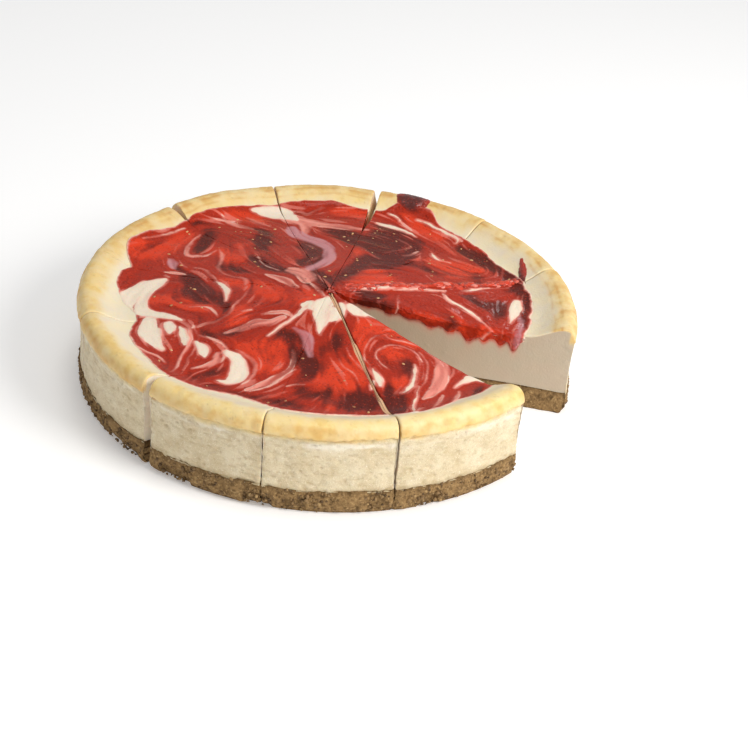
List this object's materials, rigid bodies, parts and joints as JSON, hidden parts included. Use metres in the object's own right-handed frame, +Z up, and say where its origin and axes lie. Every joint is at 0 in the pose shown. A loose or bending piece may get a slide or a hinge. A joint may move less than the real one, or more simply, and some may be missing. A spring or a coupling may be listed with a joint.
{
  "type": "baked cheesecake",
  "caption": "Round baked cheesecake with a crumb base, a raised pale rim and a red fruit swirl on top, cut into slices with one taken out.",
  "frame": {"origin": "middle of the cake's outline, on its underside", "axes": "+Z up, +X through the middle of the gap left by the missing slice, +Y anticlockwise from it seen from above"},
  "size_m": [0.2456, 0.2508, 0.0486],
  "materials": {
    "crumb": "rough baked biscuit crumb",
    "filling": "pale baked cream cheese, satin",
    "swirl": "glossy red fruit glaze marbled with cream"
  },
  "bodies": {
    "root": {"slice_01_base": "crumb", "slice_01_filling": "filling", "slice_01_swirl": "swirl", "slice_02_base": "crumb", "slice_02_filling": "filling", "slice_02_swirl": "swirl", "slice_03_base": "crumb", "slice_03_filling": "filling", "slice_03_swirl": "swirl", "slice_04_base": "crumb", "slice_04_filling": "filling", "slice_04_swirl": "swirl", "slice_05_base": "crumb", "slice_05_filling": "filling", "slice_05_swirl": "swirl", "slice_06_base": "crumb", "slice_06_filling": "filling", "slice_06_swirl": "swirl", "slice_07_base": "crumb", "slice_07_filling": "filling", "slice_07_swirl": "swirl", "slice_08_base": "crumb", "slice_08_filling": "filling", "slice_08_swirl": "swirl", "slice_09_base": "crumb", "slice_09_filling": "filling", "slice_09_swirl": "swirl", "slice_10_base": "crumb", "slice_10_filling": "filling", "slice_10_swirl": "swirl", "slice_11_base": "crumb", "slice_11_filling": "filling", "slice_11_swirl": "swirl"}
  },
  "joints": []
}
